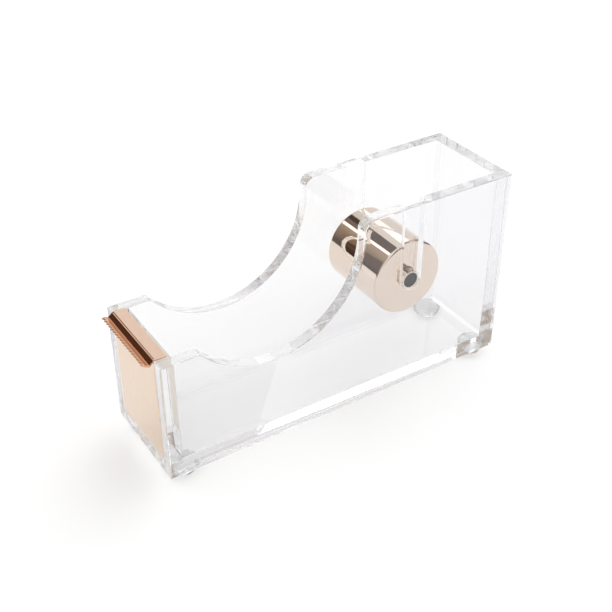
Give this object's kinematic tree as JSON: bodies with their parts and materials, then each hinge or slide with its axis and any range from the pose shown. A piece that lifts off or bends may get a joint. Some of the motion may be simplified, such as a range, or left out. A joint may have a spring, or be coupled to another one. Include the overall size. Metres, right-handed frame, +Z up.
{
  "type": "tape dispenser",
  "caption": "Clear acrylic desktop tape dispenser with a scooped body, a rose-gold front plate and toothed cutter, and a mirror drum spool that lifts out of open-topped grooves.",
  "frame": {"origin": "on the surface it stands on, below the middle of the whole part's length and width, the cutter's overhang included", "axes": "+X from the cutter to the back, along the body's length; +Y to the dispenser's left side, across the body and along the axle; +Z up"},
  "size_m": [0.127, 0.036, 0.0688],
  "materials": {
    "clear_acrylic": "clear cast acrylic sheet with polished edges",
    "rose_gold_plate": "thin sheet, satin rose-gold finish",
    "rose_gold_blade": "rolled sheet steel, rose-gold plated",
    "rose_gold_drum": "turned and polished, mirror rose-gold plating",
    "rose_gold_axle": "drawn tube, polished rose-gold plating",
    "black_nylon": "moulded nylon, fine matt",
    "white_acetal": "moulded acetal",
    "soft_clear_pu": "clear soft polyurethane",
    "adhesive_film": "clear acrylic adhesive film"
  },
  "bodies": {
    "dispenser_body": {"right_side_panel": "clear_acrylic", "left_side_panel": "clear_acrylic", "base_panel": "clear_acrylic", "front_panel": "clear_acrylic", "back_panel": "clear_acrylic", "front_plate": "rose_gold_plate", "front_plate_adhesive": "adhesive_film", "cutter_blade": "rose_gold_blade", "cutter_blade_adhesive": "adhesive_film", "foot_front_right": "soft_clear_pu", "foot_front_left": "soft_clear_pu", "foot_rear_right": "soft_clear_pu", "foot_rear_left": "soft_clear_pu", "foot_adhesives": "adhesive_film"},
    "axle": {"axle_tube": "rose_gold_axle", "axle_plug_right": "black_nylon", "axle_plug_left": "black_nylon"},
    "spool": {"spool_shell": "rose_gold_drum", "spool_end_cap": "rose_gold_drum", "spool_bush_right": "white_acetal", "spool_bush_left": "white_acetal"}
  },
  "joints": [
    {"name": "spool_lift", "type": "slide", "parent": "dispenser_body", "child": "axle", "axis": [0, 0, 1], "range_m": [0, 0.045]},
    {"name": "spool_spin", "type": "hinge", "parent": "axle", "child": "spool", "pos_m": [0.02654, 0, 0.042], "axis": [0, 1, 0], "continuous": true}
  ]
}
